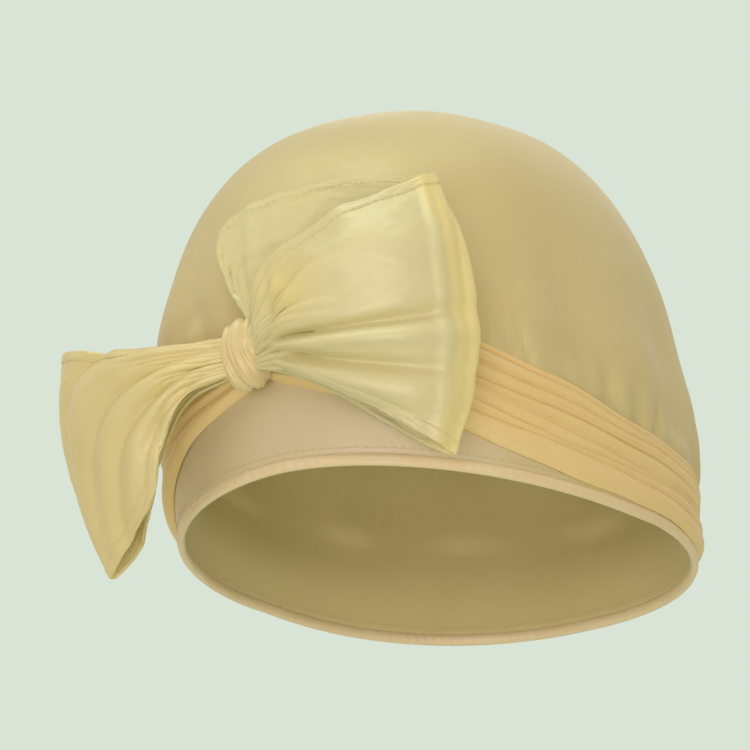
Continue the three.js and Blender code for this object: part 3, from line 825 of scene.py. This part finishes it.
# Each loop has its own colour, though all the bow is one cloth: the standing left loop's is paler and
# the hanging right loop's more orange, which is painted light.
LOOPS = [
    Loop("bow_loop_left", 1, 100, 110, 4, [
        Band(5, 6, 5, -6, 5.2, 0, 0),
        Band(13, 24, 21, -12, 13, 4, 3),
        Band(32, 34, 37, -24, 15, 5, 5),
        Band(50, 41, 51, -35, 14, 4, 8),
        Band(62, 45, 61, -43, 8, 1, 11),
        Band(52, 47, 52, -37, 1, -1, 10),
        Band(20, 51, 37, -25, -0.5, 0, 4),
        Band(-9, 43, 24, -15, 0.5, 0, 2),
        Band(-5, 24, 14, -9.5, 0.5, 0, 1),
        Band(5, 6, 5, -6, 1.5, 0, 0),
    ], [
        Crease(9, 5, 28, 23, 1.5, 6.5, -5.0, 0.6),
        Crease(10, 7, 16, 27, 0.5, 2.2, -1.4, 0.5),
        Crease(10, 3, 37, 13, 1.5, 2.8, -2.0, 0.5),
        Crease(18, 12, 72, 25, 4, 12, 2.2, 0.5),
        Crease(10, 0.5, 74, 0, -1.5, 3.2, -4.0, 0.6),
        Crease(12, -1, 72, -9, -1, 3.2, 2.6, 0.55),
        Crease(10, -2, 72, -20, -2, 3.2, -3.8, 0.55),
        Crease(12, -4, 68, -30, -2, 4.0, 2.2, 0.45),
        Crease(11, -5, 64, -37, -2.5, 2.8, -2.2, 0.4),
        Crease(58, 44, 56, -42, 6, 2.4, 1.0, 0.86),
        Crease(64, 46, 61, -44, 7, 2.6, -0.9, 0.86),
    ], [
        Crease(7, 8, 2, 52, 0.5, 3.0, -1.5, 0.35),
        Crease(9, 8, 13, 52, 1, 3.6, -1.4, 0.35),
        Crease(10, 7, 30, 52, 1.5, 4.4, -1.5, 0.35),
        Crease(11, 4, 50, 44, 2, 4.6, -1.4, 0.4),
        Crease(11, -2, 50, -26, 0, 4.0, -1.4, 0.4),
    ], 21, (0.085, 0.165), (0.765, 0.745, 0.40), (0.735, 0.70, 0.36), 21, 15, 0.6),
    Loop("bow_loop_right", -1, 210, 400, 4, [
        Band(5, 6, 5, -6, 5.2, 0, 0),
        Band(27, 8.5, 17, -10, 12, 2, 1),
        Band(44, 11, 25.5, -22, 14, 3, 2),
        Band(61, 14.5, 35, -40, 13, 4, 7),
        Band(71.5, 15.5, 62, -57, 7, 1, 9),
        Band(62, 13, 56, -50, 0, -1, 7),
        Band(43, 8.5, 44, -29, -1, 0, 2),
        Band(25, 6.5, 28, -12, 0, 0, 1),
        Band(5, 6, 5, -6, 1.5, 0, 0),
    ], [
        Crease(9, 5, 73, -30, 24, 3.4, -2.0, 0.35),
        Crease(9, 4, 68, -42, 22, 3.6, 1.5, 0.35),
        Crease(9, 3, 62, -54, 19, 3.6, -2.4, 0.4),
        Crease(9, 1, 56, -56, 16, 3.6, 1.5, 0.4),
        Crease(9, 0, 50, -56, 13, 3.2, -2.2, 0.45),
        Crease(9, -2, 43, -50, 9, 2.8, 1.2, 0.4),
        Crease(9, -3, 37, -42, 6, 2.4, -1.6, 0.4),
        Crease(9, 5.5, 72, 8, 1, 3.2, -1.1, 0.3),
    ], [
        Crease(9, 4, 66, 4, 2, 4.0, -1.2, 0.4),
        Crease(9, 0, 62, -24, 4, 4.0, -1.4, 0.4),
        Crease(9, -3, 54, -44, 4, 4.0, -1.4, 0.4),
    ], 34, (0.070, 0.155), (0.81, 0.74, 0.36), (0.77, 0.69, 0.31), 20, 0, 0.15),
]
LOOP_GATHERS = 13            # close folds across the band where the knot grips it
LOOP_HEM = 3.4               # width of the hemmed edges
LOOP_ALONG = 201
LOOP_ACROSS = 137
SPARE_CLOTH = 0.014          # how much longer each thread is than the smooth shape needs
SETTLE_FRAMES = 24
SETTLE_SCALE = 20            # the cloth is let go at this many times its size
LOOSE_HOLD = 0.3             # how firmly its shape is kept away from the knot
STITCH_IN = 2.9              # the loops' stitches, in from the edge
LOOP_GLOW = (0.97, 0.86, 0.32)   # painted light: a brighter, deeper yellow at the turn and over the hollow
HOLLOW_SPREAD = 9.5

crown_front = -on_crown(np.array([0.0]), np.array([float(KNOT_HEIGHT)]), np.zeros(1))[0][0, 1]


def on_bow(loop, x, z, forward):
    """A place on the bow, given out from the knot, up from it and forward of the bow's rear."""
    turned = x / loop.bend
    lean = np.maximum(z, 0) ** 2 / (2 * loop.lean)
    across = (loop.bend + forward) * np.sin(turned)
    back = loop.bend * (1 - np.cos(turned)) - forward * np.cos(turned) + lean
    return np.stack([loop.side * across, -crown_front - BOW_STANDOFF + back, KNOT_HEIGHT + z], -1)


def grid_normal(grid):
    return unit(np.cross(np.gradient(grid, axis=0), np.gradient(grid, axis=1)))


def crease_relief(creases, x, z):
    """How far these folds lift the cloth. Each widens from where it starts near the knot."""
    relief = np.zeros(x.shape)
    for crease in creases:
        run_x, run_z = crease.x1 - crease.x0, crease.z1 - crease.z0
        length = math.hypot(run_x, run_z)
        from_x, from_z = x - crease.x0, z - crease.z0
        share = (from_x * run_x + from_z * run_z) / length ** 2
        within = np.clip(share, 0, 1)
        away = (from_z * run_x - from_x * run_z) / length - crease.bow * 4 * within * (1 - within)
        lane = bell(away, crease.half * (0.45 + 0.55 * within))
        fading = 1 - smooth(share, crease.fade, 1.1)
        relief += crease.depth * lane * smooth(share, -0.08, 0.22) * fading
    return relief


def gather_relief(reach, across, seed):
    """The close folds that the knot grips, of uneven length."""
    random = np.random.default_rng(seed)
    relief = np.zeros(np.broadcast_shapes(reach.shape, across.shape))
    for i in range(LOOP_GATHERS):
        line = -1 + 2 * (i + 0.5 + random.uniform(-0.28, 0.28)) / LOOP_GATHERS
        line = line + random.uniform(-0.12, 0.12) * reach
        end = random.uniform(0.28, 0.75)
        lane = bell(across - line, 0.038 + 0.05 * reach)
        relief -= random.uniform(0.9, 1.6) * lane * (1 - smooth(reach, end * 0.15, end))
    return relief


def loop_cloth(loop):
    """The middle of a loop's cloth, folds and all, with what is needed to face and sew it."""
    random = np.random.default_rng(loop.seed + 1)
    last = len(loop.rows) - 1
    along = np.linspace(0, last, LOOP_ALONG)[:, None]
    across = np.sin(np.linspace(-np.pi / 2, np.pi / 2, LOOP_ACROSS))[None, :]
    share, swell = (across + 1) / 2, 1 - across ** 2
    row = {column: between(loop.rows, column, along) for column in Band._fields}
    x = row["foot_x"] + (row["top_x"] - row["foot_x"]) * share + row["belly"] * swell
    z = row["foot_z"] + (row["top_z"] - row["foot_z"]) * share
    middle = on_bow(loop, x, z, row["out"] + row["bulge"] * swell)
    outward = grid_normal(middle)
    if outward[LOOP_ALONG // 5, :, 1].mean() > 0:
        outward = -outward
    reach = np.where(along <= loop.turn, along / loop.turn, (last - along) / (last - loop.turn))
    half_width = np.hypot(row["top_x"] - row["foot_x"], row["top_z"] - row["foot_z"]) / 2
    from_edge = (1 - np.abs(across)) * half_width
    to_rear = smooth(along - loop.turn, -0.1, 0.6)
    relief = crease_relief(loop.front, x, z) * (1 - to_rear) + crease_relief(loop.rear, x, z) * to_rear
    relief = relief + gather_relief(reach, across, loop.seed)
    relief = relief + soft_waves(middle, 34, loop.seed) * 0.6 * smooth(reach, 0.15, 0.6)
    flutter = sum(np.sin(along * random.uniform(3.5, 7.5) + np.sign(across) * 2 + random.uniform(0, 6))
                  for _ in range(3))
    relief = relief + 0.24 * flutter * np.exp(-from_edge / 7) * smooth(reach, 0.2, 0.5)
    middle = settled(loop.name + "_settling", middle + outward * relief[..., None], reach)
    # Painted light: the colour turns a brighter, deeper yellow at the turn and over the hollow by the
    # knot.
    turning = smooth(along - loop.turn, -0.75, -0.5) * (1 - smooth(along - loop.turn, 0.3, 1.2))
    hollow = bell(np.hypot(x - loop.hollow_x, z - loop.hollow_z), HOLLOW_SPREAD) * (1 - to_rear)
    glow = np.clip(turning + hollow, 0, 1) * loop.glow
    return middle, outward, reach, across, from_edge, half_width, glow


def finer(grid, count):
    """The grid with this many rows, on smooth curves through the rows that it has."""
    place = np.linspace(0, len(grid) - 1, count)
    start = np.minimum(np.floor(place), len(grid) - 2).astype(int)
    padded = np.concatenate([2 * grid[:1] - grid[1:2], grid, 2 * grid[-1:] - grid[-2:-1]])
    return through(*(padded[start + k] for k in range(4)), (place - start)[:, None, None])


def settled(name, middle, reach):
    """The cloth let go with a little to spare, held by the knot, so that it finds its own wrinkles."""
    grid = middle[::2, ::2]
    rows, columns = grid.shape[:2]
    index = np.arange(rows * columns).reshape(rows, columns)
    faces = np.stack([index[:-1, :-1], index[1:, :-1], index[1:, 1:], index[:-1, 1:]], -1).reshape(-1, 4)
    mesh = bpy.data.meshes.new(name)
    mesh.from_pydata((grid.reshape(-1, 3) * MM * SETTLE_SCALE).tolist(), [], faces.tolist())
    loose = bpy.data.objects.new(name, mesh)
    bpy.context.scene.collection.objects.link(loose)
    held = loose.vertex_groups.new(name="held")
    firm = 1 - (1 - LOOSE_HOLD) * smooth(reach[::2, 0], 0.25, 0.55)
    for row, weight in zip(index, firm):
        held.add(row.tolist(), float(weight), "REPLACE")
    modifier = loose.modifiers.new("settling", "CLOTH")
    modifier.point_cache.frame_end = SETTLE_FRAMES
    satin_cloth = modifier.settings
    satin_cloth.quality = 5
    satin_cloth.mass = 0.3
    satin_cloth.tension_stiffness = 25
    satin_cloth.compression_stiffness = 25
    satin_cloth.shear_stiffness = 8
    satin_cloth.bending_stiffness = 40
    satin_cloth.air_damping = 2
    satin_cloth.vertex_group_mass = "held"
    satin_cloth.shrink_min = -SPARE_CLOTH
    satin_cloth.effector_weights.gravity = 0
    for frame in range(1, SETTLE_FRAMES + 1):
        bpy.context.scene.frame_set(frame)
    places = np.empty(rows * columns * 3, np.float32)
    seen = loose.evaluated_get(bpy.context.evaluated_depsgraph_get())
    seen.data.vertices.foreach_get("co", places)
    bpy.data.objects.remove(loose)
    bpy.context.scene.frame_set(1)
    moved = places.reshape(rows, columns, 3) / (MM * SETTLE_SCALE) - grid
    moved = finer(moved, len(middle))
    return middle + finer(moved.transpose(1, 0, 2), middle.shape[1]).transpose(1, 0, 2)


def make_loop(loop, cloth):
    """The loop's skin round the middle of its cloth, and the lines of its hems' stitches."""
    middle, outward, reach, across, from_edge, half_width, glow = cloth
    sewn = smooth(half_width, 9, 16)
    facing = grid_normal(middle)
    facing = facing * np.sign((facing * outward).sum(-1).mean())
    middle = middle - facing * (0.22 * bell(from_edge - LOOP_HEM, 0.5) * sewn)[..., None]
    facing = grid_normal(middle)
    facing = facing * np.sign((facing * outward).sum(-1).mean())
    doubled = 1 + 0.45 * (1 - smooth(from_edge, LOOP_HEM - 0.4, LOOP_HEM + 0.2)) * sewn
    rounded = np.sqrt(np.clip(1 - (1 - np.minimum(from_edge / 0.8, 1)) ** 2, 0.03, 1))
    thick = (LOOP_CLOTH * doubled * rounded / 2)[..., None]
    along = np.linspace(0, 1, LOOP_ALONG)[:, None]
    uv = np.stack(np.broadcast_arrays(across * 0.04, along * 0.165), -1)
    outer, inner = middle + facing * thick, middle - facing * thick
    piece = cloth_piece(loop.name + "_cloth", outer, inner, uv, glow=glow)
    paths = []
    rows_sewn = np.flatnonzero(reach[:, 0] > 0.3)
    for edge in (-1, 1):
        for face, spare in ((1, 0.08), (-1, -0.08)):
            lines = middle + facing * (thick * face + spare)
            path = []
            for i in rows_sewn:
                place = edge * (1 - STITCH_IN / half_width[i, 0])
                path.append([np.interp(place, across[0], lines[i, :, k]) for k in range(3)])
            paths.append((np.array(path), False))
    return piece, paths


for loop in LOOPS:
    piece, paths = make_loop(loop, loop_cloth(loop))
    finish = satin(loop.name + "_satin", loop.colour, loop.shade, roughness=0.42, glow=LOOP_GLOW)
    piece.data.materials.append(finish)
    thread = thread_satin(loop.name + "_thread", loop.colour)
    sewing = sew(loop.name + "_stitches", paths, thread, pitch=2.5, length=1.7, seed=loop.seed)
    for part in (piece, sewing):
        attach(part, "root")
    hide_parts(loop.name)

# Knot
# The strap is wound tight round the middle of the bow, so the knot is a small firm roll of cloth with
# a few slanting folds and a hollow where the last turn is tucked in.
KNOT_WIDTH = 15
KNOT_TALL = 22
KNOT_DEPTH = 15
KNOT_STANDOFF = 0.9          # from the crown to the back of the knot
# The knot's colour, paler than the straps' it is wound from, is painted light.
KNOT_COLOUR = (0.83, 0.74, 0.39)
KNOT_SHADE = (0.76, 0.63, 0.28)
KNOT_ALONG = 96
KNOT_ROUND = 160
KNOT_VALLEYS = (-1.5, -0.78, -0.30, 0.34, 0.72, 1.5)
KNOT_RISES = (0.8, 1.0, 1.2, 0.9, 0.7)
KNOT_CREASES = 26
KNOT_SEED = 9

share = np.sin(np.linspace(-np.pi / 2, np.pi / 2, KNOT_ALONG))[:, None]
turned = np.linspace(0, 2 * np.pi, KNOT_ROUND, endpoint=False)[None, :]
forward, up = np.cos(turned), np.sin(turned)
barrel = (1 - np.abs(share) ** 3.2 * 0.62) * np.sqrt(np.clip(1 - share ** 16, 0, 1))
slant = share + 0.20 * up * np.abs(up) + 0.10 * np.sin(2 * turned + 1) + 0.04 * np.sin(5 * turned)
valleys = [np.full(slant.shape, line) for line in KNOT_VALLEYS]
wound, which = pleated(slant, valleys, 1.25)
wound = 0.15 * (wound - 1) * np.array(KNOT_RISES)[which]
creases = np.random.default_rng(KNOT_SEED)
for _ in range(KNOT_CREASES):
    line = slant - creases.uniform(-0.9, 0.9) - 0.06 * np.sin(turned * 2 + creases.uniform(0, 6))
    middle, reach = creases.uniform(0, 2 * np.pi), creases.uniform(0.4, 1.1)
    along_it = bell((turned - middle + np.pi) % (2 * np.pi) - np.pi, reach)
    wound = wound - creases.uniform(0.02, 0.05) * bell(line, 0.05) * along_it
tucked = bell(share - 0.42, 0.26) * bell(up - 0.42, 0.26) * np.where(forward > 0, 1, 0)
radius = barrel * (1.07 + wound - 0.17 * tucked)
knot_middle = -crown_front - KNOT_STANDOFF - KNOT_DEPTH / 2
knot_points = np.stack(np.broadcast_arrays(
    share * (KNOT_WIDTH / 2 + 0.6),
    knot_middle - radius * forward * KNOT_DEPTH / 2 * np.where(forward > 0, 1, 0.92),
    KNOT_HEIGHT + radius * up * KNOT_TALL / 2), -1)


def lump_piece(name, rings, uv):
    """A closed lump through rings of points, in mm, drawn together at both ends."""
    rows, columns = rings.shape[:2]
    index = np.arange(rows * columns).reshape(rows, columns)
    around = np.roll(index, -1, 1)
    faces = np.stack([index[:-1], around[:-1], around[1:], index[1:]], -1).reshape(-1, 4).tolist()
    points = np.concatenate([rings.reshape(-1, 3), rings[:1].mean(1), rings[-1:].mean(1)]) * MM
    places = np.concatenate([uv.reshape(-1, 2), uv[:1].mean(1), uv[-1:].mean(1)])
    first, final = rows * columns, rows * columns + 1
    faces += [[int(b), int(a), first] for a, b in zip(index[0], around[0])]
    faces += [[int(a), int(b), final] for a, b in zip(index[-1], around[-1])]
    return skin(name, points, faces, places)


knot_uv = np.stack(np.broadcast_arrays(share * 0.01, turned * 0.01), -1)
knot = lump_piece("knot_cloth", knot_points[1:-1], knot_uv[1:-1])
knot.data.materials.append(satin("knot_satin", KNOT_COLOUR, KNOT_SHADE, roughness=0.42))
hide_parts("bow_knot")
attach(knot, "root")
